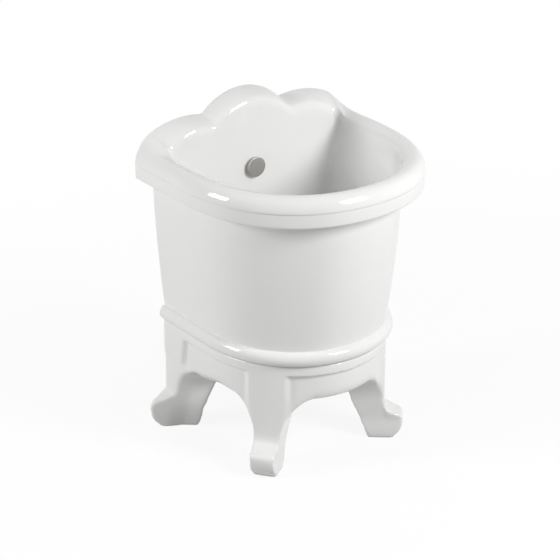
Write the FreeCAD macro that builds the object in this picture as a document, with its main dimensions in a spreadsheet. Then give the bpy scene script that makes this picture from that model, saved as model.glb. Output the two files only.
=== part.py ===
import FreeCAD, Part
import Sketcher
import math
import os

from FreeCAD import Placement, Rotation, Vector

doc = FreeCAD.newDocument("mop_sink")

# Driving dimensions in millimetres. X runs across, Y from the front (minus) to the wall (plus), Z up.
SIZES = {
    # Rim of the basin, a D in plan: flat back, straight sides, round front.
    "rim_width": 400.0, "rim_depth": 350.0, "rim_side_run": 131.0, "rim_full_share": 0.618,
    "apron_height": 25.0, "apron_setback": 2.0, "roll_width": 46.0,
    "roll_outer_round": 23.0, "roll_inner_round": 22.0, "rim_overhang": 28.5,
    # Body of the basin, which narrows to the bead at its foot.
    "body_height": 226.0, "foot_side_inset": 50.5, "foot_front_inset": 55.0, "body_side_run": 128.0,
    "body_full_share": 0.59, "body_belly": 1.6, "bead_bottom": 186.0, "bead_height": 24.0, "bead_proud": 10.5,
    # Inside of the bowl and the hollow under its floor.
    "back_wall": 39.0, "bowl_corner": 14.0, "bowl_floor_corner": 45.0, "floor_rise": 58.0,
    "floor_side_inset": 24.5, "floor_front_inset": 36.0, "bowl_floor_run": 95.0, "bowl_floor_round": 26.0,
    "floor_thickness": 34.0, "foot_wall": 24.0,
    # Splashback of three lobes.
    "crown_rise": 66.0, "crown_radius": 99.0, "side_lobe_rise": 37.2, "side_lobe_radius": 147.6,
    "side_lobe_inset": 94.2, "side_lobe_corner": 60.0, "lobe_drop": 14.0,
    # Overflow passage through the back wall and the floor.
    "overflow_drop": 58.3, "overflow_bore": 24.0, "passage_width": 40.0, "passage_depth": 14.0,
    "passage_wall": 12.0, "passage_floor": 8.0, "passage_headroom": 11.0,
    # Waste hole and its recess in the floor.
    "waste_place": 18.0, "waste_hole": 46.0, "recess_width": 74.0, "recess_depth": 5.0,
    # Stand.
    "bedding": 1.5, "stand_proud": 1.5, "stand_side_run": 125.0, "stand_full_share": 0.575, "panel_recess": 6.0,
    "rail_height": 16.5, "arch_height": 127.0, "arch_round": 20.0, "cavity_foot_side": 30.0,
    "cavity_foot_front": 24.0, "cavity_waist_side": 76.0, "cavity_waist_front": 70.0, "cavity_waist_height": 112.0,
    "cavity_top_side": 38.0, "cavity_top_front": 48.0, "cavity_side_run": 78.0, "cavity_back": 36.0,
    "leg_turn": 37.5, "front_leg_inset": 37.5, "front_leg_setback": 62.4, "rear_leg_inset": 17.2,
    "rear_leg_setback": 12.6, "leg_reach": 60.0, "sole_width": 34.6, "ankle_width": 53.0, "ankle_height": 68.0,
    "haunch_width": 210.0, "haunch_lift": 37.0, "haunch_lean": 3.5, "haunch_hold": 28.5, "haunch_bury": 1.0,
    "stile_width": 62.0, "toe_height": 67.0, "toe_root": 6.5, "toe_root_out": 3.0, "toe_reach": 29.5,
    "toe_slope_out": 21.0, "toe_slope_drop": 18.5, "nose_height": 36.0, "nose_low_out": 31.0,
    "nose_low_height": 10.0, "sole_out": 12.0, "toe_inset": 18.0,
    # Overflow fittings.
    "sleeve_clearance": 0.15, "sleeve_wall": 2.0, "sleeve_length": 11.0, "sleeve_collar": 30.0,
    "collar_thickness": 1.5, "overflow_gasket_thickness": 1.0, "cap_width": 33.0, "cap_thickness": 2.5,
    "cap_gap": 3.0, "cap_round": 0.8, "cap_spigot_length": 9.0, "cap_spigot_wall": 1.5, "cap_slot": 11.0,
    # Waste fittings.
    "flange_width": 66.0, "flange_thickness": 4.0, "flange_round": 1.5, "flange_gasket_thickness": 2.0,
    "flange_gasket_width": 62.0, "seat_width": 46.0, "seat_depth": 5.0, "waste_tube": 41.9, "waste_bore": 36.0,
    "waste_length": 84.0, "waste_window_width": 14.0, "seal_width": 62.0, "seal_foot_width": 54.0,
    "seal_thickness": 9.0, "seal_lip": 3.0, "slip_washer_width": 60.0, "slip_washer_thickness": 2.0,
    "backnut_flats": 55.0, "backnut_thickness": 12.0, "thread_clearance": 0.05,
    # Push plug and its guide.
    "plug_width": 60.0, "plug_thickness": 6.0, "plug_round": 3.0, "plug_lift": 9.0, "plug_seal_width": 57.0,
    "plug_seal_bore": 47.5, "plug_seal_thickness": 3.0, "plug_seat_gap": 0.3, "boss_width": 15.0,
    "boss_drop": 10.0, "stem_width": 8.0, "stem_fit": 0.05, "stem_tip": 2.0, "guide_drop": 26.0,
    "guide_height": 12.0, "guide_bush": 14.0, "guide_spoke": 3.0, "guide_ring": 2.5, "spring_wire": 1.2,
    "spring_width": 11.2, "spring_rest": 0.2, "clip_width": 13.0, "clip_thickness": 3.0, "stop_gap": 0.3,
    # Outlet tube and the union nut that holds it.
    "tail_width": 32.0, "tail_wall": 1.5, "tail_length": 70.0, "tail_collar": 37.0, "tail_collar_height": 3.0,
    "tail_washer_thickness": 3.0, "tail_fit": 0.2, "tail_relief": 0.2, "tail_relief_gap": 0.5,
    "union_width": 49.0, "union_height": 22.0, "union_lip": 4.0,
    "rib_width": 4.0, "rib_proud": 2.0, "rib_margin": 3.0,
    # One overrun for all cuts, and how near an edge lies to the level it is looked for at.
    "overrun": 5.0, "near": 0.005,
}
# Levels and widths that follow from the sizes above.
DERIVED = {
    "rim_bottom": "bead_bottom + bead_height + body_height", "bowl_floor": "bead_bottom + floor_rise",
    "rim_crest": "rim_bottom + apron_height + roll_outer_round", "crown_height": "rim_crest + crown_rise",
    "side_lobe_height": "rim_crest + side_lobe_rise", "overflow_height": "rim_crest - overflow_drop",
    "body_foot_width": "rim_width - 2 * foot_side_inset", "body_foot_depth": "rim_depth - foot_front_inset",
    "stand_width": "body_foot_width + 2 * stand_proud",
    "stand_front": "rim_depth / 2 - foot_front_inset + stand_proud",
}
SPRING_TURNS = 4
SPRING_SIDES = 6
GUIDE_SPOKES = 3
UNION_RIBS = 10
ROUND_STEPS = 5
BODY_STEPS = 4

sheet = doc.addObject("Spreadsheet::Sheet", "sizes")
cells = list(SIZES.items()) + [(alias, "=" + formula) for alias, formula in DERIVED.items()]
for row, (alias, value) in enumerate(cells, start=1):
    sheet.set("A%d" % row, alias)
    sheet.set("B%d" % row, str(value))
    sheet.setAlias("B%d" % row, alias)
    doc.recompute()


def size(expression):
    """The value of an expression written in the names of the sheet."""
    return float(sheet.evalExpression(expression))


# The D outline that the rim, body, bead, bowl and stand all follow.
overrun = size("overrun")
near = size("near")
back = size("rim_depth/2")
behind = back + overrun


def d_outline(half, front, run, full, z, rear=behind, corner=0.0):
    """A closed D wire: flat rear, straight sides that end a given run before the wall, round front."""
    shoulder = back - run
    handle = (shoulder - front) * full
    left_side = Part.LineSegment(Vector(-half, rear - corner, z), Vector(-half, shoulder, z)).toShape()
    right_side = Part.LineSegment(Vector(half, shoulder, z), Vector(half, rear - corner, z)).toShape()
    left_front = Part.BezierCurve()
    left_front.setPoles([Vector(-half, shoulder, z), Vector(-half, shoulder - handle, z),
                         Vector(-half * full, front, z), Vector(0, front, z)])
    right_front = Part.BezierCurve()
    right_front.setPoles([Vector(0, front, z), Vector(half * full, front, z),
                          Vector(half, shoulder - handle, z), Vector(half, shoulder, z)])
    rear_line = Part.LineSegment(Vector(half - corner, rear, z), Vector(corner - half, rear, z)).toShape()
    edges = [left_side, left_front.toShape(), right_front.toShape(), right_side]
    if corner:
        bend = corner * (1 - math.sqrt(0.5))
        right_bend = Part.Arc(Vector(half, rear - corner, z), Vector(half - bend, rear - bend, z),
                              Vector(half - corner, rear, z))
        left_bend = Part.Arc(Vector(corner - half, rear, z), Vector(bend - half, rear - bend, z),
                             Vector(-half, rear - corner, z))
        edges += [right_bend.toShape(), rear_line, left_bend.toShape()]
    else:
        edges.append(rear_line)
    return Part.Wire(edges)


def d_block(wire, height):
    """An upright block that stands on a D wire."""
    return Part.Face(wire).extrude(Vector(0, 0, height))


def loft(*wires):
    """A solid with straight walls from each wire to the next."""
    return Part.makeLoft(list(wires), True, True)


def quarter(steps=ROUND_STEPS):
    """The sines and cosines along a quarter round, from level to upright."""
    angles = [math.pi / 2 * i / steps for i in range(steps + 1)]
    return [(math.sin(angle), math.cos(angle)) for angle in angles]


# Basin: one glazed casting with a rolled rim, a scalloped splashback and a bead at its foot.
rim_half = size("rim_width/2")
rim_front = -back
apron_half = size("rim_width/2 - apron_setback")
apron_front = -size("rim_depth/2 - apron_setback")
body_half = size("rim_width/2 - apron_setback - rim_overhang")
body_front = -size("rim_depth/2 - apron_setback - rim_overhang")
foot_half = size("body_foot_width/2")
foot_front = size("rim_depth/2 - body_foot_depth")
body_full = size("body_full_share")
rim_full = size("rim_full_share")
body_run = size("body_side_run")
rim_run = size("rim_side_run")
bead_bottom = size("bead_bottom")
bead_top = size("bead_bottom + bead_height")
bead_proud = size("bead_proud")
rim_bottom = size("rim_bottom")
roll_bottom = size("rim_bottom + apron_height")
roll_round = size("roll_outer_round")
mouth_round = size("roll_inner_round")
crest = roll_bottom + roll_round
bowl_rear = size("rim_depth/2 - back_wall")
body_belly = size("body_belly")


def body_at(share, z, proud=0.0):
    """The outside of the body, from its foot (share 0) to the rim (share 1), standing proud by an amount."""
    half = foot_half + (body_half - foot_half) * share + proud
    front = foot_front + (body_front - foot_front) * share - proud
    return d_outline(half, front, body_run, body_full, z)


def bead_at(turn):
    """The half-round bead at an angle from its middle."""
    middle = (bead_bottom + bead_top) / 2
    return body_at(0, middle + (bead_top - middle) * math.sin(turn), bead_proud * math.cos(turn))


body_levels = [i / BODY_STEPS for i in range(BODY_STEPS + 1)]
body = loft(*[body_at(share, bead_top + (rim_bottom - bead_top) * share, 4 * body_belly * share * (1 - share))
              for share in body_levels])
foot_block = d_block(body_at(0, bead_bottom), bead_top - bead_bottom)
bead_turns = [math.pi / 2 * i / ROUND_STEPS for i in range(-ROUND_STEPS, ROUND_STEPS + 1)]
bead = loft(*[bead_at(turn) for turn in bead_turns])
apron = d_block(d_outline(apron_half, apron_front, rim_run, rim_full, rim_bottom), roll_bottom - rim_bottom)
roll = loft(*[d_outline(rim_half - roll_round * (1 - level), rim_front + roll_round * (1 - level), rim_run, rim_full,
                        roll_bottom + roll_round * upright) for upright, level in quarter()])

bowl_floor = size("bowl_floor")
floor_round = size("bowl_floor_round")
floor_half = size("body_foot_width/2 - floor_side_inset")
floor_front = size("rim_depth/2 - body_foot_depth + floor_front_inset")
mouth_half = size("rim_width/2 - roll_width")
mouth_front = -size("rim_depth/2 - roll_width")
floor_run = size("bowl_floor_run + back_wall")
mouth_corner = size("bowl_corner")
floor_corner = size("bowl_floor_corner")


def bowl_at(z, flare=0.0, rear_flare=0.0):
    """The inside of the bowl at a level, on straight lines from floor to rim, widened by a flare."""
    share = (z - bowl_floor) / (roll_bottom - bowl_floor)
    half = floor_half + (mouth_half - floor_half) * share + flare
    front = floor_front + (mouth_front - floor_front) * share - flare
    run = floor_run + (rim_run - floor_run) * share
    corner = floor_corner + (mouth_corner - floor_corner) * share + rear_flare
    return d_outline(half, front, run, rim_full, z, bowl_rear + rear_flare, corner)


mouth_bottom = crest - mouth_round
floor_inside = loft(*[bowl_at(bowl_floor + floor_round * (1 - level), floor_round * (upright - 1),
                              floor_round * (upright - 1)) for upright, level in quarter()])
wall_inside = loft(bowl_at(bowl_floor + floor_round), bowl_at(mouth_bottom))
mouth_inside = loft(*[bowl_at(mouth_bottom + mouth_round * upright, mouth_round * (1 - level))
                      for upright, level in quarter()])

# Splashback lobes, each an upright plate whose top falls to its front in a quarter of an ellipse.
plate_thickness = size("back_wall")
lobe_drop = size("lobe_drop")
lobe_foot = roll_bottom - overrun
lobe_radius = size("side_lobe_radius")
lobe_centre = size("rim_width/2 - side_lobe_inset")
lobe_level = size("side_lobe_height - side_lobe_radius")
corner_radius = size("side_lobe_corner")
corner_x = rim_half - corner_radius
corner_z = lobe_level + math.sqrt((lobe_radius - corner_radius) ** 2 - (corner_x - lobe_centre) ** 2)
crown_radius = size("crown_radius")
crown_level = size("crown_height - crown_radius")


def on_circle(x, y, z, radius, angle):
    """A point of a circle in an upright plane."""
    return Vector(x + radius * math.cos(angle), y, z + radius * math.sin(angle))


def side_outline(inset, y):
    """The outline of the right lobe, drawn in by an amount, at a distance behind the front."""
    turn = math.atan2(corner_z - lobe_level, corner_x - lobe_centre)
    side = rim_half - inset
    large = lobe_radius - inset
    small = corner_radius - inset
    inner = math.pi - math.acos(min(lobe_centre / large, 1.0))
    foot_out = Vector(side, y, min(lobe_foot, corner_z - overrun))
    foot_in = Vector(lobe_centre + large * math.cos(inner), y, foot_out.z)
    start = Vector(side, y, corner_z)
    join = on_circle(lobe_centre, y, lobe_level, large, turn)
    end = on_circle(lobe_centre, y, lobe_level, large, inner)
    return Part.Wire([
        Part.LineSegment(foot_out, start).toShape(),
        Part.Arc(start, on_circle(corner_x, y, corner_z, small, turn / 2), join).toShape(),
        Part.Arc(join, on_circle(lobe_centre, y, lobe_level, large, (turn + inner) / 2), end).toShape(),
        Part.LineSegment(end, foot_in).toShape(),
        Part.LineSegment(foot_in, foot_out).toShape()])


def crown_outline(inset, y):
    """The outline of the middle lobe: a half circle on straight sides that reach into the rim."""
    radius = crown_radius - inset
    left = on_circle(0, y, crown_level, radius, math.pi)
    top = on_circle(0, y, crown_level, radius, math.pi / 2)
    right = on_circle(0, y, crown_level, radius, 0)
    foot = Vector(0, 0, min(lobe_foot, crown_level - overrun) - crown_level)
    return Part.Wire([
        Part.Arc(left, top, right).toShape(),
        Part.LineSegment(right, right + foot).toShape(),
        Part.LineSegment(right + foot, left + foot).toShape(),
        Part.LineSegment(left + foot, left).toShape()])


def lobe(outline):
    """A lobe from its outline, which is drawn in along a quarter ellipse towards the front."""
    wires = [outline(lobe_drop * (1 - upright), bowl_rear + plate_thickness * (1 - level))
             for upright, level in quarter()]
    return loft(*wires, outline(0, behind))


right_lobe = lobe(side_outline)
left_lobe = right_lobe.mirror(Vector(0, 0, 0), Vector(1, 0, 0))

# Hollow under the floor, the waste hole and the overflow passage that leads into it.
hollow_top = bowl_floor - size("floor_thickness")
foot_wall = size("foot_wall")
hollow = d_block(d_outline(foot_half - foot_wall, foot_front + foot_wall, body_run, body_full,
                           bead_bottom - overrun, back - foot_wall), hollow_top - bead_bottom + overrun)
waste_y = size("waste_place")
seat_level = bowl_floor - size("recess_depth")
waste_hole = Part.makeCylinder(size("waste_hole/2"), size("floor_thickness") + 2 * overrun,
                               Vector(0, waste_y, hollow_top - overrun))
waste_recess = Part.makeCylinder(size("recess_width/2"), size("recess_depth") + overrun,
                                 Vector(0, waste_y, seat_level))
overflow_z = size("overflow_height")
passage_front = bowl_rear + size("passage_wall")
passage_half = size("passage_width/2")
passage_bottom = hollow_top + size("passage_floor")
passage_top = overflow_z + size("overflow_bore/2") + overrun
drop = Part.makeBox(2 * passage_half, size("passage_depth"), passage_top - passage_bottom,
                    Vector(-passage_half, passage_front, passage_bottom))
run_in = Part.makeBox(2 * passage_half, passage_front + size("passage_depth") - waste_y, size("passage_headroom"),
                      Vector(-passage_half, waste_y, passage_bottom))
overflow_hole = Part.makeCylinder(size("overflow_bore/2"), size("passage_wall") + 2 * overrun,
                                  Vector(0, bowl_rear - overrun, overflow_z), Vector(0, 1, 0))
wall_side = Part.makeBox(2 * (rim_half + overrun), 2 * overrun, size("crown_height") + 2 * overrun,
                         Vector(-rim_half - overrun, back, -overrun))

basin_outside = body.fuse([foot_block, bead, apron, roll, right_lobe, left_lobe, lobe(crown_outline)])
basin_shape = basin_outside.cut([floor_inside, wall_inside, mouth_inside, hollow, waste_hole, waste_recess, drop,
                                 run_in, overflow_hole, wall_side]).removeSplitter()
basin = doc.addObject("Part::Feature", "basin")
basin.Shape = basin_shape

# Bedding seal: the sealant ring that the basin is set on.
stand_top = bead_bottom - size("bedding")
stand_half = size("stand_width/2")
stand_front = -size("stand_front")
stand_run = size("stand_side_run")
stand_full = size("stand_full_share")


def stand_at(z, inset=0.0):
    """The outline of the stand's face at a level, set in by an amount."""
    return d_outline(stand_half - inset, stand_front + inset, stand_run, stand_full, z)


seal_hole = d_block(d_outline(foot_half - foot_wall, foot_front + foot_wall, body_run, body_full,
                              stand_top - overrun, back - foot_wall), size("bedding") + 2 * overrun)
bedding_seal = doc.addObject("Part::Feature", "bedding_seal")
bedding_seal.Shape = d_block(stand_at(stand_top), size("bedding")).cut([seal_hole, wall_side])

# Stand: a D ring on four splayed legs, with raised stiles, recessed panels and scrolled toes.
recess = size("panel_recess")
arch_height = size("arch_height")
arch_round = size("arch_round")
ring = d_block(stand_at(arch_height, recess), stand_top - arch_height)
arch_edge = loft(*[stand_at(arch_height - arch_round * upright, recess + arch_round * (1 - level))
                   for upright, level in quarter()])
face_block = d_block(stand_at(0), stand_top)
panel_block = d_block(stand_at(0, recess), stand_top)
rail_bottom = stand_top - size("rail_height")
rail = d_block(stand_at(rail_bottom), stand_top - rail_bottom)


def toe_spot(out, z):
    """A point of the toe's section, out from the face at the back of the left side."""
    return Vector(-stand_half - out, behind, z)


def toe_ring():
    """The scrolled toe as a moulding that runs round the D, from its root on the face to the sole."""
    top = toe_spot(0, size("toe_height"))
    root = toe_spot(size("toe_root_out"), size("toe_height - toe_root"))
    slope_end = toe_spot(size("toe_slope_out"), size("toe_height - toe_slope_drop"))
    nose = toe_spot(size("toe_reach"), size("nose_height"))
    sole = toe_spot(size("sole_out"), 0)
    cove = Part.BezierCurve()
    cove.setPoles([top, toe_spot(0, size("toe_height - toe_root/2")), root])
    scroll = Part.BezierCurve()
    scroll.setPoles([slope_end, toe_spot(size("toe_reach"), size("toe_height - toe_slope_drop - toe_root/2")), nose])
    curl = Part.BezierCurve()
    curl.setPoles([nose, toe_spot(size("nose_low_out"), size("nose_low_height")), sole])
    inner_sole = toe_spot(-size("toe_inset"), 0)
    inner_top = toe_spot(-size("toe_inset"), size("toe_height"))
    section = Part.Wire([
        cove.toShape(), Part.LineSegment(root, slope_end).toShape(), scroll.toShape(), curl.toShape(),
        Part.LineSegment(sole, inner_sole).toShape(), Part.LineSegment(inner_sole, inner_top).toShape(),
        Part.LineSegment(inner_top, top).toShape()])
    path = Part.Wire(stand_at(0).Edges[:4])
    return path.makePipeShell([section], True, False)


def settle(solid, across, along, turn):
    """Turn a leg's own X axis outwards and move it to its place in plan."""
    solid.rotate(Vector(0, 0, 0), Vector(0, 0, 1), turn)
    solid.translate(Vector(across, along, 0))
    return solid


def leg_flare(across, along, turn):
    """A leg seen along its own axis: sole, taper to the ankle and haunches that spring into the arches."""
    sole = size("sole_width/2")
    ankle = size("ankle_width/2")
    ankle_z = size("ankle_height")
    haunch = size("haunch_width/2")
    haunch_z = size("arch_height + haunch_bury")
    sides = []
    for hand in (1, -1):
        foot = Vector(0, hand * sole, 0)
        bend = Vector(0, hand * ankle, ankle_z)
        spring = Vector(0, hand * haunch, haunch_z)
        curve = Part.BezierCurve()
        curve.setPoles([bend, Vector(0, hand * (ankle + size("haunch_lean")), ankle_z + size("haunch_lift")),
                        Vector(0, hand * (ankle + size("haunch_hold")), haunch_z), spring])
        sides.append(Part.LineSegment(foot, bend).toShape())
        sides.append(curve.toShape())
        sides.append(Part.LineSegment(spring, Vector(0, hand * haunch, stand_top)).toShape())
    top_line = Part.LineSegment(Vector(0, haunch, stand_top), Vector(0, -haunch, stand_top)).toShape()
    sole_line = Part.LineSegment(Vector(0, sole, 0), Vector(0, -sole, 0)).toShape()
    wire = Part.Wire(Part.__sortEdges__(sides + [top_line, sole_line]))
    solid = Part.Face(wire).extrude(Vector(2 * size("leg_reach"), 0, 0))
    solid.translate(Vector(-size("leg_reach"), 0, 0))
    return settle(solid, across, along, turn)


def stile_wedge(across, along, turn):
    """The raised stile in plan: its sides fall back at a slope from the face to the panel."""
    half = size("stile_width/2")
    depth = size("leg_reach")
    ahead = half - recess
    outline = Part.makePolygon([Vector(ahead, half - ahead, 0), Vector(ahead, ahead - half, 0),
                                Vector(-depth, -half - depth, 0), Vector(-depth, half + depth, 0),
                                Vector(ahead, half - ahead, 0)])
    return settle(Part.Face(outline).extrude(Vector(0, 0, stand_top)), across, along, turn)


leg_turn = size("leg_turn")
front_x = size("stand_width/2 - front_leg_inset")
front_y = -size("stand_front - front_leg_setback")
rear_x = size("stand_width/2 - rear_leg_inset")
rear_y = size("rim_depth/2 - rear_leg_setback")
LEG_PLACES = [(front_x, front_y, -leg_turn), (-front_x, front_y, 180 + leg_turn),
              (rear_x, rear_y, leg_turn), (-rear_x, rear_y, 180 - leg_turn)]
toes = toe_ring()
legs = []
for across, along, turn in LEG_PLACES:
    flare = leg_flare(across, along, turn)
    legs.append(flare.common(panel_block))
    legs.append(flare.common(face_block).common(stile_wedge(across, along, turn)))
    legs.append(flare.common(toes))

cavity_rear = back - size("cavity_back")
cavity_run = size("cavity_side_run + cavity_back")
waist_height = size("cavity_waist_height")


def cavity_at(side, front, z, rear):
    """The hollow under the stand at a level, set in from the face at the sides and at the front."""
    return d_outline(stand_half - size(side), stand_front + size(front), cavity_run, stand_full, z, rear)


cavity_low = loft(cavity_at("cavity_foot_side", "cavity_foot_front", 0, behind),
                  cavity_at("cavity_waist_side", "cavity_waist_front", waist_height, behind))
cavity_high = loft(cavity_at("cavity_waist_side", "cavity_waist_front", waist_height, cavity_rear),
                   cavity_at("cavity_top_side", "cavity_top_front", stand_top, cavity_rear))
stand = doc.addObject("Part::Feature", "stand")
stand.Shape = ring.fuse([arch_edge, rail] + legs).cut([cavity_low, cavity_high, wall_side]).removeSplitter()


# The fittings are turned, drilled and ribbed pieces bound to the sheet.
def sheet_names(expression):
    """The same expression with each name led by the sheet's own name, as other objects write it."""
    words = sorted(list(SIZES) + list(DERIVED), key=len, reverse=True)
    out = ""
    rest = expression
    while rest:
        word = next((w for w in words if rest.startswith(w)), None)
        out += "sizes." + word if word else rest[0]
        rest = rest[len(word):] if word else rest[1:]
    return out


def bind(feature, **expressions):
    """Tie properties of a feature to the sheet."""
    for name, expression in expressions.items():
        feature.setExpression(name, sheet_names(expression))


def place(feature, across="0", along="0", up="0"):
    """Put a feature at a place given by expressions."""
    for axis, expression in zip("xyz", (across, along, up)):
        feature.setExpression(".Placement.Base." + axis, sheet_names(expression))


def turned(label, outline):
    """A body turned about its own upright axis from an outline of (radius, height) expressions."""
    body = doc.addObject("PartDesign::Body", label)
    plane = next(f for f in body.Origin.OriginFeatures if f.Role == "XZ_Plane")
    sketch = body.newObject("Sketcher::SketchObject", label + "_outline")
    sketch.AttachmentSupport = [(plane, "")]
    sketch.MapMode = "FlatFace"
    points = [Vector(size(radius), size(height), 0) for radius, height in outline]
    for start, end in zip(points, points[1:] + points[:1]):
        sketch.addGeometry(Part.LineSegment(start, end), False)
    for i, (radius, height) in enumerate(outline):
        sketch.addConstraint(Sketcher.Constraint("Coincident", i, 2, (i + 1) % len(outline), 1))
        for kind, axis, expression in (("DistanceX", -2, radius), ("DistanceY", -1, height)):
            if expression == "0":
                sketch.addConstraint(Sketcher.Constraint("PointOnObject", i, 1, axis))
            else:
                index = sketch.addConstraint(Sketcher.Constraint(kind, -1, 1, i, 1, size(expression)))
                sketch.setExpression("Constraints[%d]" % index, sheet_names(expression))
    doc.recompute()
    spin = body.newObject("PartDesign::Revolution", label + "_turning")
    spin.Profile = sketch
    spin.ReferenceAxis = (sketch, ["V_Axis"])
    doc.recompute()
    return body


def soften(body, width, radius, height):
    """Bevel the one circular edge of a turned body that has a given radius and height."""
    base = body.Tip
    names = []
    for i, edge in enumerate(base.Shape.Edges, start=1):
        if isinstance(edge.Curve, Part.Circle) and abs(edge.Curve.Radius - size(radius)) < near \
                and abs(edge.Curve.Center.z - size(height)) < near:
            names.append("Edge%d" % i)
    bevel = body.newObject("PartDesign::Chamfer", body.Name + "_bevel")
    bevel.Base = (base, names)
    bind(bevel, Size=width)
    doc.recompute()


def tube(label, outer, inner, height):
    """A plain turned ring from its outer and inner radius and its height."""
    return turned(label, [(inner, "0"), (outer, "0"), (outer, height), (inner, height)])


def bars(label, count, start, stop, width, height):
    """Upright bars set round an axis, each from one radius to another."""
    made = []
    for i in range(count):
        bar = doc.addObject("Part::Box", "%s_%d" % (label, i + 1))
        turn = 360.0 * i / count
        bar.Placement = Placement(Vector(), Rotation(Vector(0, 0, 1), turn))
        bind(bar, Length="%s - (%s)" % (stop, start), Width=width, Height=height)
        cosine, sine = "cos(%.6f deg)" % turn, "sin(%.6f deg)" % turn
        place(bar, "(%s) * %s + %s/2 * %s" % (start, cosine, width, sine),
              "(%s) * %s - %s/2 * %s" % (start, sine, width, cosine))
        made.append(bar)
    return made


def joined(label, pieces):
    whole = doc.addObject("Part::MultiFuse", label)
    whole.Shapes = pieces
    return whole


def drilled(label, base, tool):
    cut = doc.addObject("Part::Cut", label)
    cut.Base = base
    cut.Tool = tool
    return cut


# Overflow fittings: a plastic sleeve in the hole, a soft ring behind its collar and a metal cover that stands off.
FACING = Rotation(Vector(1, 0, 0), 90)
overflow_gasket = tube("overflow_gasket", "sleeve_collar/2", "overflow_bore/2", "overflow_gasket_thickness")
sleeve_radius = "(overflow_bore/2 - sleeve_clearance)"
sleeve_bore = "(overflow_bore/2 - sleeve_clearance - sleeve_wall)"
overflow_sleeve = turned("overflow_sleeve", [
    (sleeve_bore, "-sleeve_length"), (sleeve_radius, "-sleeve_length"), (sleeve_radius, "overflow_gasket_thickness"),
    ("sleeve_collar/2", "overflow_gasket_thickness"),
    ("sleeve_collar/2", "overflow_gasket_thickness + collar_thickness"),
    (sleeve_bore, "overflow_gasket_thickness + collar_thickness")])
spigot_radius = "(overflow_bore/2 - sleeve_clearance - sleeve_wall - thread_clearance)"
spigot_bore = "(overflow_bore/2 - sleeve_clearance - sleeve_wall - thread_clearance - cap_spigot_wall)"
cover_turning = turned("overflow_cover", [
    ("0", "cap_gap"), (spigot_bore, "cap_gap"), (spigot_bore, "-cap_spigot_length"),
    (spigot_radius, "-cap_spigot_length"), (spigot_radius, "cap_gap"), ("cap_width/2", "cap_gap"),
    ("cap_width/2", "cap_gap + cap_thickness"), ("0", "cap_gap + cap_thickness")])
soften(cover_turning, "cap_round", "cap_width/2", "cap_gap + cap_thickness")
slots = bars("overflow_slot", 2, "-cap_width/2", "cap_width/2", "cap_slot", "cap_gap")
overflow_cap = drilled("overflow_cap", cover_turning, joined("overflow_slots", slots))
for fitting, lift in ((overflow_gasket, "0"), (overflow_sleeve, "0"),
                      (overflow_cap, "(overflow_gasket_thickness + collar_thickness)")):
    fitting.Placement = Placement(Vector(), FACING)
    place(fitting, "0", "rim_depth/2 - back_wall - " + lift, "overflow_height")

# Waste: a flanged brass body through the floor, bedded on a soft ring and drawn down by a nut from below.
on_seat = "bowl_floor - recess_depth"
under_floor = "bowl_floor - floor_thickness"
tube_radius = "waste_tube/2"
thread_radius = "(waste_tube/2 + thread_clearance)"
flange_gasket = tube("flange_gasket", "flange_gasket_width/2", "waste_hole/2", "flange_gasket_thickness")
place(flange_gasket, "0", "waste_place", on_seat)
waste_level = on_seat + " + flange_gasket_thickness"
waste_turning = turned("waste_turning", [
    ("waste_bore/2", "-waste_length"), (tube_radius, "-waste_length"), (tube_radius, "0"), ("flange_width/2", "0"),
    ("flange_width/2", "flange_thickness"), ("seat_width/2", "flange_thickness"),
    ("waste_bore/2", "flange_thickness - seat_depth")])
soften(waste_turning, "flange_round", "flange_width/2", "flange_thickness")
window = doc.addObject("Part::Box", "waste_window")
bind(window, Length="waste_window_width", Width="waste_tube + overrun", Height="passage_headroom")
place(window, "-waste_window_width/2", "-(waste_tube + overrun)/2",
      "passage_floor - floor_thickness + recess_depth - flange_gasket_thickness")
waste_body = drilled("waste_body", waste_turning, window)
place(waste_body, "0", "waste_place", waste_level)

waste_seal = turned("waste_seal", [
    (thread_radius, "-seal_thickness"), ("seal_foot_width/2", "-seal_thickness"), ("seal_width/2", "0"),
    ("waste_hole/2 - thread_clearance", "0"), ("waste_hole/2 - thread_clearance", "seal_lip"),
    (thread_radius, "seal_lip")])
place(waste_seal, "0", "waste_place", under_floor)
slip_washer = tube("slip_washer", "slip_washer_width/2", thread_radius, "slip_washer_thickness")
place(slip_washer, "0", "waste_place", under_floor + " - seal_thickness - slip_washer_thickness")
nut_blank = doc.addObject("Part::Prism", "backnut_blank")
nut_blank.Polygon = 6
bind(nut_blank, Circumradius="backnut_flats/2 / cos(30 deg)", Height="backnut_thickness")
nut_thread = doc.addObject("Part::Cylinder", "backnut_thread")
bind(nut_thread, Radius=thread_radius, Height="backnut_thickness")
backnut = drilled("backnut", nut_blank, nut_thread)
place(backnut, "0", "waste_place", under_floor + " - seal_thickness - slip_washer_thickness - backnut_thickness")

# Push plug: a cap on a stem that slides in a spider inside the waste, held up or down by its spring and friction.
flange_top = waste_level + " + flange_thickness"
plug_level = flange_top + " + plug_seat_gap + plug_seal_thickness"
plug_cap = turned("plug_cap", [
    ("0", "0"), ("stem_width/2 + thread_clearance", "0"), ("stem_width/2 + thread_clearance", "-boss_drop"),
    ("boss_width/2", "-boss_drop"), ("boss_width/2", "0"), ("plug_width/2", "0"), ("plug_width/2", "plug_thickness"),
    ("0", "plug_thickness")])
soften(plug_cap, "plug_round", "plug_width/2", "plug_thickness")
place(plug_cap, "0", "waste_place", plug_level)
plug_seal = tube("plug_seal", "plug_seal_width/2", "plug_seal_bore/2", "plug_seal_thickness")
place(plug_seal, "0", "waste_place", plug_level + " - plug_seal_thickness")

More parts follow.
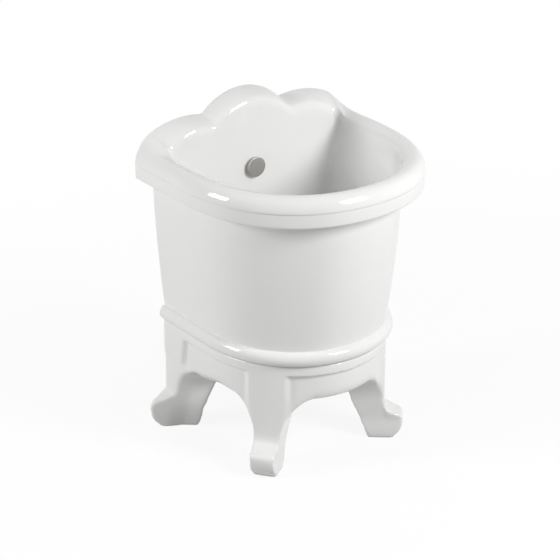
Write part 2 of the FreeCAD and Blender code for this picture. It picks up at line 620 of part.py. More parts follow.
guide_top = waste_level + " - guide_drop"
guide_rim = tube("guide_rim", "waste_bore/2 - stem_fit", "waste_bore/2 - guide_ring", "guide_height")
guide_bush = tube("guide_bush_turning", "guide_bush/2", "stem_width/2 + stem_fit", "guide_height")
guide_spokes = bars("guide_bar", GUIDE_SPOKES, "(stem_width + guide_bush)/4", "(waste_bore - guide_ring)/2",
                    "guide_spoke", "guide_height")
stem_guide = joined("stem_guide", [guide_rim, guide_bush] + guide_spokes)
place(stem_guide, "0", "waste_place", guide_top + " - guide_height")

clip_level = guide_top + " - guide_height - plug_lift - stop_gap - clip_thickness"
stem_clip = tube("stem_clip", "clip_width/2", "stem_width/2 + thread_clearance", "clip_thickness")
place(stem_clip, "0", "waste_place", clip_level)
plug_stem = doc.addObject("Part::Cylinder", "plug_stem")
bind(plug_stem, Radius="stem_width/2", Height="(%s) - (%s) + stem_tip" % (plug_level, clip_level))
place(plug_stem, "0", "waste_place", clip_level + " - stem_tip")


def arc_from(start, tangent, end):
    """The arc that leaves a point along a tangent and ends at another point."""
    chord = end - start
    along = Vector(chord).normalize()
    lift = tangent - along * tangent.dot(along)
    angle = math.atan2(lift.Length, tangent.dot(along))
    middle = (start + end) * 0.5 + lift.normalize() * (chord.Length / 2 * math.tan(angle / 2))
    return Part.Arc(start, middle, end).toShape()


def coil(radius, rise, turns):
    """A rising coil as a chain of arcs, two to each quarter turn, that share their tangents."""
    slope = rise / (2 * math.pi * turns * radius)
    edges = []
    spots = []
    for i in range(4 * turns + 1):
        angle = math.pi / 2 * i
        spot = Vector(radius * math.cos(angle), radius * math.sin(angle), rise * i / (4 * turns))
        spots.append((spot, Vector(-math.sin(angle), math.cos(angle), slope).normalize()))
    for (start, leave), (end, arrive) in zip(spots, spots[1:]):
        chord = end - start
        both = leave + arrive
        spread = 2 * (1 - leave.dot(arrive))
        pull = chord.dot(both)
        reach = (math.sqrt(pull ** 2 + spread * chord.dot(chord)) - pull) / spread
        meet = (start + end + (leave - arrive) * reach) * 0.5
        edges.append(arc_from(start, leave, meet))
        edges.append(arc_from(end, arrive * -1, meet).reversed())
    return Part.Wire(Part.__sortEdges__(edges))


spring_wire = size("spring_wire")
spring_radius = size("(spring_width - spring_wire)/2")
spring_foot = size(guide_top + " + spring_rest + spring_wire/2")
spring_head = size(plug_level + " - boss_drop - spring_rest - spring_wire/2")
spring_path = coil(spring_radius, spring_head - spring_foot, SPRING_TURNS)
spring_lead = spring_path.Edges[0].tangentAt(spring_path.Edges[0].FirstParameter)
spring_out = Vector(spring_wire / 2, 0, 0)
spring_up = spring_out.cross(spring_lead) * -1
spring_turns = [2 * math.pi * i / SPRING_SIDES for i in range(SPRING_SIDES + 1)]
spring_section = Part.makePolygon([
    Vector(spring_radius, 0, 0) + spring_out * math.cos(turn) + spring_up * math.sin(turn) for turn in spring_turns])
click_spring = doc.addObject("Part::Feature", "click_spring")
click_spring.Shape = spring_path.makePipeShell([spring_section], True, False)
click_spring.Placement = Placement(Vector(0, waste_y, spring_foot), Rotation())
print("least gap between the spring's turns", (spring_head - spring_foot) / SPRING_TURNS - spring_wire)

# Outlet: a tube with a collar, drawn up against the waste by a union nut with a soft washer between.
tube_end = waste_level + " - waste_length"
tailpiece_washer = tube("tailpiece_washer", "tail_collar/2", "waste_bore/2 - tail_wall", "tail_washer_thickness")
place(tailpiece_washer, "0", "waste_place", tube_end + " - tail_washer_thickness")
tail_bore = "(tail_width/2 - tail_wall)"
tail_relief_end = "-(tail_collar_height + union_lip + tail_relief_gap)"
tailpiece = turned("tailpiece", [
    (tail_bore, "-tail_length"), ("tail_width/2", "-tail_length"), ("tail_width/2", tail_relief_end),
    ("tail_width/2 - tail_relief", tail_relief_end), ("tail_width/2 - tail_relief", "-tail_collar_height"),
    ("tail_collar/2", "-tail_collar_height"), ("tail_collar/2", "0"), (tail_bore, "0")])
place(tailpiece, "0", "waste_place", tube_end + " - tail_washer_thickness")
union_turning = turned("union_turning", [
    ("tail_width/2 + tail_fit", "0"), ("union_width/2", "0"), ("union_width/2", "union_height"),
    (thread_radius, "union_height"), (thread_radius, "union_lip"), ("tail_width/2 + tail_fit", "union_lip")])
union_ribs = bars("union_rib", UNION_RIBS, "(waste_tube + union_width)/4", "union_width/2 + rib_proud", "rib_width",
                  "union_height - rib_margin")
tailpiece_nut = joined("tailpiece_nut", [union_turning] + union_ribs)
place(tailpiece_nut, "0", "waste_place",
      tube_end + " - tail_washer_thickness - tail_collar_height - union_lip")

doc.recompute()
SUB_PARTS = [basin, bedding_seal, stand, overflow_gasket, overflow_sleeve, overflow_cap, flange_gasket, waste_body,
             waste_seal, slip_washer, backnut, plug_cap, plug_seal, plug_stem, stem_guide, click_spring, stem_clip,
             tailpiece_washer, tailpiece, tailpiece_nut]

for item in doc.Objects:
    if "Invalid" in item.State or "Error" in item.State:
        raise RuntimeError("%s did not build: %s" % (item.Name, item.State))
for part in SUB_PARTS:
    if part.Shape.isNull() or not part.Shape.isValid() or len(part.Shape.Solids) != 1:
        raise RuntimeError("%s is not one sound solid" % part.Label)
    print(part.Label, len(part.Shape.Faces), round(part.Shape.Volume))

os.makedirs("parts", exist_ok=True)
for part in SUB_PARTS:
    part.Shape.exportStep("parts/%s.step" % part.Label)
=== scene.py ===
import math

import bmesh
import bpy
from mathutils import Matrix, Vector


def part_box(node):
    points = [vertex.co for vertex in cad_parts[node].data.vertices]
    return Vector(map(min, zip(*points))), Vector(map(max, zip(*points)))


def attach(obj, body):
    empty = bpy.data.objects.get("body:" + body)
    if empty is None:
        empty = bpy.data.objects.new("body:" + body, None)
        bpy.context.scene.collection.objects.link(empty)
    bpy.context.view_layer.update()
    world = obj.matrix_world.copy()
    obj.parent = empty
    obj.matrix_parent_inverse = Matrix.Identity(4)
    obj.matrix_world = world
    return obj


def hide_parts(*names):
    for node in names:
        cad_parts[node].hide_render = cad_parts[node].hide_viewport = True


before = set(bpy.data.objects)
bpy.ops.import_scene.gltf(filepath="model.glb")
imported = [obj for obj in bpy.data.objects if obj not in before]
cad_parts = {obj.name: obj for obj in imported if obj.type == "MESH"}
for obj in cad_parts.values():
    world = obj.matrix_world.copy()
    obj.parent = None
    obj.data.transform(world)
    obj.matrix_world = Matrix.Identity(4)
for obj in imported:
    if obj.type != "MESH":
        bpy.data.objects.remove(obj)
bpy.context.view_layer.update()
scene = bpy.context.scene
scene.view_settings.view_transform = "Standard"


# The stand is the lower casting of the sink: four splayed legs under a straight rail, in white
# glazed vitreous china. It is slip cast, so every arris and inner corner is soft under the glaze.
class Shade:
    """A socket in the node tree of one finish, with sums on it written as plain expressions."""

    def __init__(self, tree, socket=None):
        self.tree = tree
        self.socket = socket

    def add(self, kind, settings=None, sockets=None, out=0):
        """Add a node: its settings come first, then the values or links of its sockets."""
        node = self.tree.nodes.new(kind)
        for name, value in (settings or {}).items():
            setattr(node, name, value)
        for name, value in (sockets or {}).items():
            if isinstance(value, Shade):
                self.tree.links.new(value.socket, node.inputs[name])
            else:
                node.inputs[name].default_value = value
        return Shade(self.tree, node.outputs[out])

    def maths(self, operation, first, second):
        return self.add("ShaderNodeMath", {"operation": operation}, {0: first, 1: second})

    def __add__(self, other):
        return self.maths("ADD", self, other)

    def __mul__(self, other):
        return self.maths("MULTIPLY", self, other)

    __radd__ = __add__
    __rmul__ = __mul__

    def noise(self, scale, detail):
        """Soft random patches over this place, from 0 to 1."""
        sockets = {"Vector": self, "Scale": scale, "Detail": detail}
        return self.add("ShaderNodeTexNoise", None, sockets, "Fac")

    def tint(self, first, second):
        """A colour that goes from the first to the second with this share."""
        sockets = {0: self, 6: (*first, 1.0), 7: (*second, 1.0)}
        return self.add("ShaderNodeMix", {"data_type": "RGBA"}, sockets, 2)

    def bump(self, strength, depth):
        """The lie of a surface on which this pattern is raised."""
        sockets = {"Strength": strength, "Distance": depth, "Height": self}
        return self.add("ShaderNodeBump", None, sockets, "Normal")

    def feeds(self, node, name):
        self.tree.links.new(self.socket, node.inputs[name])


def new_finish(name):
    """An empty finish, the place on the piece that its patterns read, and its surface node."""
    finish = bpy.data.materials.new(name)
    finish.use_nodes = True
    tree = finish.node_tree
    place = Shade(tree).add("ShaderNodeTexCoord", out="Object")
    return finish, place, tree.nodes["Principled BSDF"]


def make_glaze():
    """White sanitary glaze: faint clouding, a slow ripple in the surface, a few dull patches."""
    finish, place, surface = new_finish("glaze")
    cloud = place.noise(11.0, 3.0)
    cloud.tint((0.872, 0.870, 0.858), (0.900, 0.899, 0.892)).feeds(surface, "Base Color")
    wear = place.noise(34.0, 4.0)
    (0.035 + 0.05 * wear).feeds(surface, "Roughness")
    ripple = place.noise(70.0, 1.5)
    ripple.bump(0.06, 0.0006).feeds(surface, "Normal")
    surface.inputs["IOR"].default_value = 1.52
    return finish


def finished(form, name, finish, smooth=True):
    """Turn a bmesh into an object of one finish."""
    mesh = bpy.data.meshes.new(name)
    form.to_mesh(mesh)
    form.free()
    for face in mesh.polygons:
        face.use_smooth = smooth
    mesh.materials.append(finish)
    piece = bpy.data.objects.new(name, mesh)
    scene.collection.objects.link(piece)
    return piece


def ease(share):
    """A share from 0 to 1 that starts and ends softly."""
    share = min(max(share, 0.0), 1.0)
    return share * share * (3.0 - 2.0 * share)


def ramp(value, span):
    """How far a value has gone through a span, from 0 at its first end to 1 at its second."""
    start, end = span
    return ease((value - start) / (end - start))


def soften(form, verts, passes):
    """Round a form off where these points of it lie, a little more with each pass."""
    for again in range(passes):
        bmesh.ops.smooth_vert(form, verts=verts, factor=0.5,
                              use_axis_x=True, use_axis_y=True, use_axis_z=True)


glaze = make_glaze()
stand_voxel, weld = 0.00205, 0.00002
stand_low, stand_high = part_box("stand")
stand_middle_y = 0.04

# The arches: the edge of the front one and of each side one is lifted in its middle.
arch_lift, arch_head, arch_foot = 0.011, (0.168, 0.123), (0.06, 0.10)
front_arch_y, front_arch_half = -0.03, (0.080, 0.050)
side_arch_share, side_arch_x = 0.85, (0.10, 0.12)
side_arch_front, side_arch_rear = (-0.035, 0.035), (0.090, 0.030)

# The rear stiles: the slope at their front edge is drawn together to a chamfer.
stile_x, stile_y, stile_z = 0.138, (0.07, 0.15), (0.085, 0.167)
stile_edge, stile_lean, stile_head = 0.121, 0.16, 0.165
stile_chamfer, stile_foot = 0.008, (0.112, 0.124)
stile_start, stile_run, stile_step = 0.0795, 0.0456, 0.006

# The rear legs: slimmer on the inside at mid height, fuller at the root and the sole.
shank_head = 0.105
rear_head, rear_front, rear_inside = 0.135, 0.06, (0.140, 0.104)
waist_cut, root_fill, sole_fill = 0.010, 0.013, 0.010
root_low, root_high, root_inside = (0.055, 0.090), (0.135, 0.100), (0.05, 0.09)
sole_high, sole_inside = (0.05, 0.0), (0.160, 0.140)

# The front legs: hollowed behind, pinched at the ankle, with the toe's top sunk. A leg is measured
# out along its own line and across it.
leg_head, leg_rear, leg_half = 0.115, 0.01, 0.05
leg_out, leg_across, leg_middle = 0.809, 0.587, -0.0195
hollow_push, hollow_facing = 0.009, (0.2, 0.6)
front_push, front_push_y, front_push_head = 0.004, 0.02, (0.115, 0.095)
toe_width, ankle_pinch, ankle = 1.15, 0.28, (0.0, 0.04)
knee_spread, knee = 0.13, (0.06, 0.115)
toe_sink, toe_face, toe_top = 0.009, (0.128, 0.132), (0.02, 0.06)


def under_arch(x, y):
    """How near a point lies to the crown of the front arch or of a side arch, from 0 to 1."""
    if y < front_arch_y and x < side_arch_x[0]:
        return ramp(x, front_arch_half)
    along = ramp(y, side_arch_front) * ramp(y, side_arch_rear)
    return side_arch_share * ramp(x, side_arch_x) * along


def flowed(spot, normal):
    """Where a point of the stand's plain solid lies in the casting, whose forms flow together."""
    x, y, z = abs(spot.x), spot.y, spot.z
    z += arch_lift * under_arch(x, y) * ramp(z, arch_head) * ramp(z, arch_foot)
    if x > stile_x and stile_y[0] < y < stile_y[1] and stile_z[0] < z < stile_z[1]:
        edge = stile_edge + stile_lean * (stile_head - z)
        slope = min(max((y - stile_start) / stile_run, 0.0), 1.0)
        step = ramp(y, (edge - stile_chamfer, edge)) - slope
        x += stile_step * step * ramp(z, stile_foot)
    bulge = math.sin(math.pi * min(z / shank_head, 1.0))
    if z < rear_head and y > rear_front:
        root = ramp(z, root_low) * ramp(z, root_high) * ramp(x, root_inside)
        sole = ramp(z, sole_high) * ramp(x, sole_inside)
        x += (waist_cut * bulge - root_fill * root) * ramp(x, rear_inside) - sole_fill * sole
    elif z < leg_head:
        away = Vector((x, y - stand_middle_y, 0.0)).normalized()
        inward = -(math.copysign(normal.x, normal.x * spot.x) * away.x + normal.y * away.y)
        push = hollow_push * bulge + front_push * (y < front_push_y) * ramp(z, front_push_head)
        push *= ramp(inward, hollow_facing)
        x += away.x * push
        y += away.y * push
    out = leg_out * x - leg_across * y
    across = -leg_across * x - leg_out * y - leg_middle
    if y < leg_rear and z < leg_head and abs(across) < leg_half:
        across *= toe_width - ankle_pinch * ramp(z, ankle) + knee_spread * ramp(z, knee)
        x = leg_out * out - leg_across * (across + leg_middle)
        y = -leg_across * out - leg_out * (across + leg_middle)
        z -= toe_sink * ramp(out, toe_face) * ramp(z, toe_top)
    return Vector((math.copysign(x, spot.x), min(y, stand_high.y), z))


form = bmesh.new()
form.from_mesh(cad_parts["stand"].data)
bmesh.ops.remove_doubles(form, verts=form.verts, dist=weld)
rough = finished(form, "stand_rough", glaze)
remesh = rough.modifiers.new("remesh", "REMESH")
remesh.mode = "VOXEL"
remesh.voxel_size = stand_voxel
form = bmesh.new()
form.from_object(rough, bpy.context.evaluated_depsgraph_get())
bpy.data.objects.remove(rough)
form.normal_update()
for vert, spot in [(vert, flowed(vert.co, vert.normal)) for vert in form.verts]:
    vert.co = spot

# The inner sides of the legs are rounded off most, then their edges, the shanks and the legs, and
# the whole a little; the soles, the back and the top are then set flat again.
rail_foot, rail_lift, shank_foot = 0.128, 0.014, 0.07
hollow_turn, arris_rings = -0.03, 3
legs = [vert for vert in form.verts
        if vert.co.z < rail_foot + rail_lift * under_arch(abs(vert.co.x), vert.co.y)]
shanks = [vert for vert in legs if vert.co.z > shank_foot]
hollows = [vert for vert in legs
           if vert.normal.x * vert.co.x
           + vert.normal.y * (vert.co.y - stand_middle_y) < hollow_turn]
arrises = set(hollows)
for again in range(arris_rings):
    arrises |= {edge.other_vert(vert) for vert in arrises for edge in vert.link_edges}
arrises = sorted(arrises, key=lambda vert: vert.index)
for verts, passes in ((hollows, 40), (arrises, 12), (shanks, 9), (legs, 5), (form.verts, 3)):
    soften(form, verts, passes)
for vert in form.verts:
    if vert.co.z < stand_low.z + stand_voxel:
        vert.co.z = stand_low.z
    if vert.co.y > stand_high.y - stand_voxel:
        vert.co.y = stand_high.y
    if vert.co.z > stand_high.z - stand_voxel:
        vert.co.z = stand_high.z
stand = finished(form, "stand_casting", glaze)
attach(stand, "sink")
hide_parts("stand")


# The bedding is a thin ring of white sealant squeezed between the two castings; a bead of it is
# wiped flush all round, so it shows as a fine matt line under the half-round.
def make_sealant():
    """White sealant, faintly clouded and smeared by the wiping finger."""
    finish, place, surface = new_finish("sealant")
    cloud = place.noise(60.0, 3.0)
    cloud.tint((0.62, 0.61, 0.58), (0.72, 0.71, 0.69)).feeds(surface, "Base Color")
    (0.35 + 0.2 * cloud).feeds(surface, "Roughness")
    cloud.bump(0.3, 0.0004).feeds(surface, "Normal")
    return finish


def dress(node, finish):
    """Give a solid of the frame its own finish."""
    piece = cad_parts[node]
    piece.data.materials.clear()
    piece.data.materials.append(finish)
    for face in piece.data.polygons:
        face.material_index = 0


dress("bedding_seal", make_sealant())


# The basin is the upper casting: a D-shaped bowl with a rolled rim, a splashback in three lobes
# behind, and a half-round bead at its foot. It is slip cast in one with the rim and dipped in the
# same glaze. Its skin is drawn over lines that run round the bowl, from the foot over the rim.
basin_low, basin_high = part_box("basin")
wall, back_corner = basin_high.y, 0.002
side_shares = (0.0, 0.05, 0.1, 0.16, 0.22, 0.29, 0.37, 0.47, 0.59, 0.72, 0.86)
back_shares = (1.0, 0.96, 0.90, 0.83, 0.755, 0.68, 0.61, 0.55, 0.50, 0.465, 0.44, 0.417, 0.395,
               0.37, 0.335, 0.29, 0.24, 0.18, 0.12, 0.06)
front_steps, corner_steps = 13, 4
places = [("left", share) for share in side_shares]
places += [("front_left", step / front_steps) for step in range(front_steps)]
places += [("front_right", step / front_steps) for step in range(front_steps)]
places += [("right", 1.0 - share) for share in (1.0,) + side_shares[:0:-1]]
places += [("right_corner", step / corner_steps) for step in range(corner_steps)]
places += [("back", share) for share in back_shares + (0.0,)]
places += [("back", -share) for share in back_shares[:0:-1]]
places += [("left_corner", step / corner_steps) for step in range(corner_steps)]


def bow(place, half, front, shoulder, full, rear, corner):
    """A point of the bowl's plan: straight sides, a bow front, a flat back with round corners."""
    run, share = place
    side = -1.0 if "left" in run else 1.0
    if run == "back":
        return (half - corner) * share, rear
    if "corner" in run:
        turn = math.radians(90.0 * (share if side > 0 else 1.0 - share))
        x = half - corner + corner * math.cos(turn)
        return side * x, rear - corner + corner * math.sin(turn)
    along = share if side < 0 else 1.0 - share
    if "front" in run:
        rest = 1.0 - along
        x = half * (rest ** 3 + 3 * rest * rest * along + 3 * rest * along * along * full)
        fall = 3 * rest * rest * along * full + 3 * rest * along * along + along ** 3
        return side * x, shoulder + (front - shoulder) * fall
    return side * half, rear - corner + (shoulder - rear + corner) * along


def plain_ring(z, half, front, shoulder, full, rear, corner):
    """A level line round the bowl."""
    return [Vector((*bow(place, half, front, shoulder, full, rear, corner), z))
            for place in places]


# The outside of the bowl swells a little towards the rim; the bead runs round its foot, and the
# rim's apron stands out from it with a crisp lower edge.
foot_half, foot_front, foot_z, foot_inset = 0.1495, -0.120, basin_low.z, 0.001
body_shoulder, body_full, body_start, body_top = 0.047, 0.59, 0.210, 0.436
body_rise, body_bend, body_bow = 0.130, 0.22, 1.35
body_heights = (0.2095, 0.2115, 0.225, 0.27, 0.33, 0.39, 0.430, body_top - 0.0015)
bead_z, bead_radius, bead_proud = 0.198, 0.012, 0.0105
bead_turns = (-72, -45, -15, 15, 45, 72)
rim_half, rim_front = basin_high.x, basin_low.y
rim_shoulder, rim_full = 0.044, 0.618
apron_root = 0.0025
apron_line = ((body_top, 0.008), (body_top + 0.0003, 0.0035), (0.4385, 0.0018), (0.442, 0.0015),
              (0.450, 0.0013), (0.4575, 0.0013), (0.4595, 0.0016), (0.4606, 0.0002))


def body_ring(z, proud=0.0):
    """A line round the outside of the bowl."""
    high = max(z - body_start, 0.0)
    swell = body_rise * high - body_bend * high * high
    return plain_ring(z, foot_half + swell + proud, foot_front - body_bow * swell - proud,
                      body_shoulder, body_full, wall, back_corner)


def apron_ring(z, inset):
    """A line round the rim's apron."""
    return plain_ring(z, rim_half - inset, rim_front + inset, rim_shoulder, rim_full, wall,
                      back_corner)


rings = [body_ring(foot_z, -foot_inset)]
for turn in bead_turns:
    tilt = math.radians(turn)
    rings.append(body_ring(bead_z + bead_radius * math.sin(tilt), bead_proud * math.cos(tilt)))
rings += [body_ring(z) for z in body_heights]
rings.append(body_ring(body_top, apron_root))
rings += [apron_ring(z, inset) for z, inset in apron_line]

# The rim rolls over to a soft inner edge, and behind it swells up into the lobes: a crown in the
# middle and a lobe on each side, whose outer end is rounded down to the rim.
roll_width, roll_rise, roll_z = 0.018, 0.023, 0.461
roll_half = rim_half - roll_width
roll_turns = (6, 22, 40, 58, 74, 84, 90)
roll_fall, lip = 0.0065, 0.0135
mouth_half, mouth_z = 0.1632, roll_z + roll_rise - roll_fall - lip
mouth_corner_x, mouth_corner = 0.163, 0.009
inner_line = ((0.12, 0.03, 0.0), (0.26, 0.11, 0.0), (0.505, 0.33, 0.0), (0.734, 0.62, 0.02),
              (0.872, 0.83, 0.10), (0.941, 0.94, 0.28), (0.979, 1.0, 0.58), (1.0, 1.0, 1.0))
swoop_start, swoop_lead = 0.130, 0.025
crown_z, crown_radius = 0.451, 0.099
lobe_x, lobe_z, lobe_radius, lobe_end = 0.1058, 0.3736, 0.1476, 0.1634
end_x, end_z, end_radius = 0.140, 0.4542, 0.060
end_turn_low, end_turn_high = 6.5, 55.0
valley_round = 0.004
lobe_depth, lobe_drop, end_drop, end_drop_x = 0.039, 0.011, 0.011, (0.12, 0.155)


def splash_height(x):
    """The height of the splashback's three-lobed outline."""
    x = abs(x)
    if x > lobe_end:
        return end_z + math.sqrt(max(end_radius ** 2 - (x - end_x) ** 2, 0.0))
    lobe = lobe_z + math.sqrt(lobe_radius ** 2 - (x - lobe_x) ** 2)
    crown = crown_z + math.sqrt(max(crown_radius ** 2 - x * x, 0.0))
    soft = max(valley_round - abs(lobe - crown), 0.0) / valley_round
    return max(lobe, crown) + soft * soft * valley_round / 4.0


def lobe_fall(x):
    """How far the lobes' top comes down from their outline to their front edge."""
    return lobe_drop + end_drop * ramp(abs(x), end_drop_x)


def outer_ring(turn):
    """A line along the outside of the rolled rim, turn degrees up, which swells into the lobes."""
    up, share = math.radians(turn), turn / 90.0
    half = roll_half + roll_width * math.cos(up)
    height = roll_z + roll_rise * math.sin(up)
    end_turn = math.radians(end_turn_low + (end_turn_high - end_turn_low) * share)
    edge_x = end_x + end_radius * math.cos(end_turn)
    edge_z = end_z + end_radius * math.sin(end_turn)
    ring = []
    for place in places:
        x, y = bow(place, half, rim_front + rim_half - half, rim_shoulder, rim_full, wall,
                   back_corner)
        swoop = ramp(y, (swoop_start, wall))
        if place[0] == "back":
            x *= edge_x / half
        else:
            x *= 1.0 + (edge_x - half) / half * swoop
        top = edge_z + (splash_height(x) - splash_height(edge_x)) * share
        ring.append(Vector((x, y, height + (top - height) * swoop)))
    return ring


def inner_ring(reach, slope, drop):
    """A line along the inside of the rim, from its crest over the soft inner edge to the mouth."""
    half = roll_half + (mouth_half - roll_half) * reach
    rear = wall - lobe_depth * reach
    corner = back_corner + mouth_corner * reach
    crest_x = end_x + end_radius * math.cos(math.radians(end_turn_high))
    edge_x = crest_x + (mouth_corner_x - crest_x) * reach
    height = roll_z + roll_rise - roll_fall * slope - lip * drop
    ring = []
    for place in places:
        x, y = bow(place, half, rim_front + rim_half - half, rim_shoulder, rim_full, rear, corner)
        swoop = ramp(y, (swoop_start - swoop_lead * reach, rear))
        if place[0] == "back":
            x *= (edge_x - corner) / (half - corner)
        else:
            x *= 1.0 + (edge_x - half) / half * swoop
        top = splash_height(x) - lobe_fall(x) * slope - lip * drop
        ring.append(Vector((x, y, height + (top - height) * swoop)))
    return ring


rings += [outer_ring(turn) for turn in roll_turns]
rings += [inner_ring(*line) for line in inner_line]

# The inside of the bowl tapers down to a floor with a round edge; under the rim it flares to the
# mouth, and along the back it runs up under the lobes.
bowl_half, bowl_front, bowl_rear = 0.1540, -0.1290, wall - lobe_depth
side_taper, front_taper, flare = 0.1337, 0.2073, (0.395, mouth_z)
wall_line = ((0.455, 0.9, 0.0105), (0.440, 0.68, 0.011), (0.415, 0.42, 0.012), (0.385, 0.2, 0.015),
             (0.350, 0.06, 0.019), (0.310, 0.0, 0.026), (0.282, 0.0, 0.034))
floor_z, floor_round, floor_corner = 0.244, 0.026, 0.042
floor_turns = (0, 25, 50, 72, 90)


def wall_plan(z):
    """The half width and the front of the bowl's inside at a height."""
    half = bowl_half - side_taper * (roll_z - z)
    front = bowl_front + front_taper * (roll_z - z)
    mouth_front = rim_front + rim_half - mouth_half
    share = ramp(z, flare)
    return half + (mouth_half - half) * share, front + (mouth_front - front) * share


def wall_ring(z, lift, corner):
    """A line round the inside of the bowl; near the rim it follows the lobes along the back."""
    half, front = wall_plan(z)
    ring = []
    for place in places:
        x, y = bow(place, half, front, rim_shoulder, rim_full, bowl_rear, corner)
        swoop = ramp(y, (swoop_start - swoop_lead, bowl_rear))
        rise = lift * (splash_height(x) - lobe_fall(x) - lip - roll_z) * swoop
        if abs(x) > half - corner:
            x += math.copysign(side_taper * rise, x)
        ring.append(Vector((x, y, z + rise)))
    return ring


rings += [wall_ring(*line) for line in wall_line]
floor_half, floor_front = wall_plan(floor_z + floor_round)
for turn in floor_turns:
    tilt = math.radians(turn)
    inset = floor_round * (1.0 - math.cos(tilt))
    rings.append(plain_ring(floor_z + floor_round * (1.0 - math.sin(tilt)), floor_half - inset,
                            floor_front + inset, rim_shoulder, rim_full, bowl_rear - inset,
                            floor_corner))

# The drain hole is sunk for the waste's flange and goes through the floor into the hollow foot.
drain = Vector((0.0, 0.018, 0.0))
drain_reach = 0.048
drain_line = ((0.0385, floor_z), (0.0372, 0.2435), (0.0370, 0.2395), (0.0360, 0.2390),
              (0.0245, 0.2390), (0.0230, 0.2380), (0.0230, 0.2115), (0.0240, 0.2100))
hollow_half, hollow_front, hollow_rear, hollow_corner = 0.1255, -0.096, 0.151, 0.02
hollow_line = ((0.210, -0.004), (0.206, 0.0), (foot_z + 0.0015, 0.0), (foot_z, 0.002))


def round_ring(radius, z):
    """A circle about the drain, its points in line with those of the line before."""
    ring = []
    for spot in rings[-1]:
        way = Vector((spot.x - drain.x, spot.y - drain.y, 0.0)).normalized()
        ring.append(Vector((drain.x, drain.y, z)) + way * radius)
    return ring


near_drain = round_ring(drain_reach, floor_z)
rings.append([(floor_spot + spot) / 2.0 for floor_spot, spot in zip(rings[-1], near_drain)])
rings.append(near_drain)
for radius, z in drain_line:
    rings.append(round_ring(radius, z))
for z, spread in hollow_line:
    rings.append(plain_ring(z, hollow_half + spread, hollow_front - spread, rim_shoulder,
                            rim_full, hollow_rear + spread, hollow_corner))


def skin_over(rings):
    """Lay a grid along all the lines of a form and close it both ways."""
    made = bmesh.new()
    grid = bmesh.ops.create_grid(made, x_segments=len(rings[0]), y_segments=len(rings), size=1.0)
    spots = [spot for ring in rings + rings[:1] for spot in ring + ring[:1]]
    for vert, spot in zip(grid["verts"], spots):
        vert.co = spot
    bmesh.ops.remove_doubles(made, verts=made.verts, dist=skin_weld)
    bmesh.ops.recalc_face_normals(made, faces=made.faces)
    return made


skin_weld = 0.000001
flow_x, flow_front, flow_low, flow_passes = 0.125, 0.085, 0.4665, 6
mouth_keep, lobe_keep, wall_keep = 0.005, 0.006, 0.002


def on_rear_rim(spot):
    """Whether a point lies on the stretch of the rim that flows up into the outer lobes."""
    x, y, z = abs(spot.x), spot.y, spot.z
    if x <= mouth_half + mouth_keep and y <= wall - lobe_depth + lobe_keep:
        return False
    return x > flow_x and flow_front < y < wall - wall_keep and z > flow_low


form = skin_over(rings)
soften(form, [vert for vert in form.verts if on_rear_rim(vert.co)], flow_passes)
basin = finished(form, "basin_casting", glaze)
round_off = basin.modifiers.new("round", "SUBSURF")
round_off.levels = 2
round_off.render_levels = 2
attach(basin, "sink")
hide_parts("basin")


# The overflow is a plastic sleeve through the back wall with a soft ring behind its collar, closed
# by a pressed metal cover that clips into it. The cover's face is brushed upright.
def make_brushed(name, dull, bright, along):
    """Brushed metal: fine scratches along one way, a little smear across."""
    finish, place, surface = new_finish(name)
    stretch = place.add("ShaderNodeMapping", None, {"Vector": place, "Scale": along})
    scratch = stretch.noise(1.0, 4.0)
    smear = place.noise(90.0, 2.0)
    scratch.tint(dull, bright).feeds(surface, "Base Color")
    (0.22 + 0.18 * scratch + 0.08 * smear).feeds(surface, "Roughness")
    scratch.bump(0.25, 0.0003).feeds(surface, "Normal")
    surface.inputs["Metallic"].default_value = 1.0
    return finish


def make_moulded(name, shaded, light):
    """Moulded plastic with a fine eggshell surface."""
    finish, place, surface = new_finish(name)
    cloud = place.noise(45.0, 2.0)
    cloud.tint(shaded, light).feeds(surface, "Base Color")
    pits = place.noise(1400.0, 1.0)
    (0.38 + 0.12 * pits).feeds(surface, "Roughness")
    pits.bump(0.2, 0.0001).feeds(surface, "Normal")
    return finish


def make_rubber():
    """Black washer rubber, slightly bloomed grey."""
    finish, place, surface = new_finish("rubber")
    bloom = place.noise(130.0, 5.0)
    bloom.tint((0.018, 0.018, 0.018), (0.06, 0.058, 0.055)).feeds(surface, "Base Color")
    (0.55 + 0.25 * bloom).feeds(surface, "Roughness")
    return finish


white_plastic = make_moulded("white_plastic", (0.72, 0.72, 0.69), (0.80, 0.80, 0.78))
rubber = make_rubber()
dress("overflow_sleeve", white_plastic)
dress("overflow_gasket", rubber)
dress("overflow_cap", make_brushed("cover_metal", (0.50, 0.49, 0.47), (0.66, 0.65, 0.63),
                                   (900.0, 900.0, 16.0)))


# The waste is a chromed flanged tube through the bowl floor, bedded on rubber and clamped from
# below by a brass backnut over a hard washer and a tapered rubber; a plastic spider inside it
# guides the plug.
def make_chrome():
    """Polished chrome with faint wiping marks."""
    finish, place, surface = new_finish("chrome")
    wipe = place.noise(55.0, 5.0)
    wipe.tint((0.74, 0.75, 0.76), (0.82, 0.83, 0.84)).feeds(surface, "Base Color")
    (0.05 + 0.12 * wipe).feeds(surface, "Roughness")
    surface.inputs["Metallic"].default_value = 1.0
    return finish


chrome = make_chrome()
turned_brass = make_brushed("turned_brass", (0.60, 0.42, 0.20), (0.74, 0.57, 0.31),
                            (60.0, 60.0, 900.0))
dress("waste_body", chrome)
dress("flange_gasket", rubber)
dress("waste_seal", rubber)
dress("slip_washer", white_plastic)
dress("backnut", turned_brass)
dress("stem_guide", white_plastic)


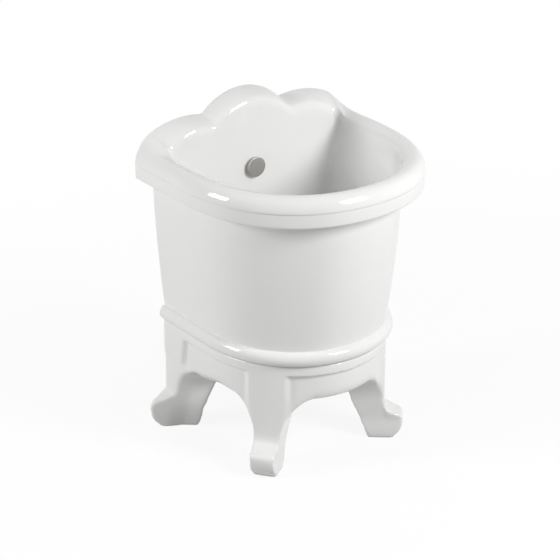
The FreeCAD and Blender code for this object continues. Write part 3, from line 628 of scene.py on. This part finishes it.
# The push plug is a chromed cap on a brass stem, with a rubber ring under its edge, a collar at
# the foot of the stem, and a steel spring between the cap and the guide.
dress("plug_cap", chrome)
dress("plug_seal", rubber)
dress("plug_stem", turned_brass)
dress("stem_clip", turned_brass)
dress("click_spring", make_brushed("spring_wire", (0.42, 0.42, 0.42), (0.62, 0.62, 0.62),
                                   (200.0, 200.0, 500.0)))


# The outlet is a chromed tube held under the waste by a ribbed plastic union nut on a soft washer;
# the drain hose goes over its lower end.
dress("tailpiece", chrome)
dress("tailpiece_nut", white_plastic)
dress("tailpiece_washer", rubber)


# The floor is a pale studio sweep that stays white to the camera and keeps the sink's shadow; it
# fades into the white surround away from the sink.
def seen_by_camera(shade):
    """1 for what the camera sees, also in a reflection or through glass, and 0 for other light."""
    seen = shade.add("ShaderNodeLightPath", out="Is Camera Ray")
    seen = seen + shade.add("ShaderNodeLightPath", out="Is Glossy Ray")
    return seen + shade.add("ShaderNodeLightPath", out="Is Transmission Ray")


floor_reach = 7.0
fade_near, fade_far, glow_near, glow_far = 0.35, 1.4, 0.88, 1.0


def make_studio_floor():
    """White paper that glows by itself to the camera, the more the further from the sink."""
    finish, place, surface = new_finish("studio_floor")
    nodes = finish.node_tree.nodes
    nodes.remove(surface)
    seen = seen_by_camera(place)
    paper = place.add("ShaderNodeBsdfDiffuse", None, {"Color": 0.5 + 0.5 * seen})
    glow = place.add("ShaderNodeEmission", None, {"Color": (1.0, 1.0, 1.0, 1.0), "Strength": 1.0})
    reach = place.add("ShaderNodeVectorMath", {"operation": "LENGTH"}, {0: place}, "Value")
    fade = place.add("ShaderNodeMapRange", None,
                     {0: reach, 1: fade_near, 2: fade_far, 3: glow_near, 4: glow_far})
    mixed = place.add("ShaderNodeMixShader", None, {0: fade * seen, 1: paper, 2: glow})
    mixed.feeds(nodes["Material Output"], "Surface")
    return finish


form = bmesh.new()
bmesh.ops.create_grid(form, x_segments=1, y_segments=1, size=floor_reach)
floor = finished(form, "studio_floor", make_studio_floor(), smooth=False)


# The light is a soft studio surround with a softbox on each side of the camera, the right one the
# stronger; the surround is dim, so that the two model the white forms, and a weak one lights the
# back.
world = bpy.data.worlds.new("studio")
scene.world = world
world.use_nodes = True
surround = world.node_tree.nodes["Background"]
surround.inputs["Color"].default_value = (1.0, 1.0, 1.0, 1.0)
(0.30 + 0.70 * seen_by_camera(Shade(world.node_tree))).feeds(surround, "Strength")

aim = Vector((0.0, 0.0655, 0.25314))
azimuth, elevation = math.radians(-35.53), math.radians(23.72)
panel_reach = 2.2


def way_out(turn, lift):
    """The way from the sink, turned from its front and lifted from the floor."""
    return Vector((math.sin(turn) * math.cos(lift), -math.cos(turn) * math.cos(lift),
                   math.sin(lift)))


def panel(name, around, above, width, height, power):
    """A soft panel, around degrees from the camera, looking at the sink."""
    way = way_out(azimuth + math.radians(around), math.radians(above))
    light = bpy.data.lights.new(name, "AREA")
    light.shape = "RECTANGLE"
    light.size, light.size_y = width, height
    light.energy = power
    lamp = bpy.data.objects.new(name, light)
    lamp.location = aim + way * panel_reach
    lamp.rotation_euler = way.to_track_quat("Z", "Y").to_euler()
    scene.collection.objects.link(lamp)
    return lamp


panel("left_panel", around=-72.0, above=22.0, width=0.6, height=0.7, power=21.0)
panel("right_panel", around=56.0, above=32.0, width=0.65, height=0.75, power=30.0)
back_panel = panel("back_panel", around=205.0, above=10.0, width=0.9, height=0.7, power=10.0)
back_panel.visible_glossy = False


# The camera stands where the photograph was taken from, in front of the sink to its left, with a
# long lens, looking a little down.
distance, lens, sensor = 4.0098, 161.84, 36.0
camera = bpy.data.objects.new("camera", bpy.data.cameras.new("camera"))
camera.data.lens = lens
camera.data.sensor_width = sensor
camera.location = aim + way_out(azimuth, elevation) * distance
camera.rotation_euler = (math.pi / 2.0 - elevation, 0.0, azimuth)
scene.collection.objects.link(camera)
scene.camera = camera

bpy.context.view_layer.update()
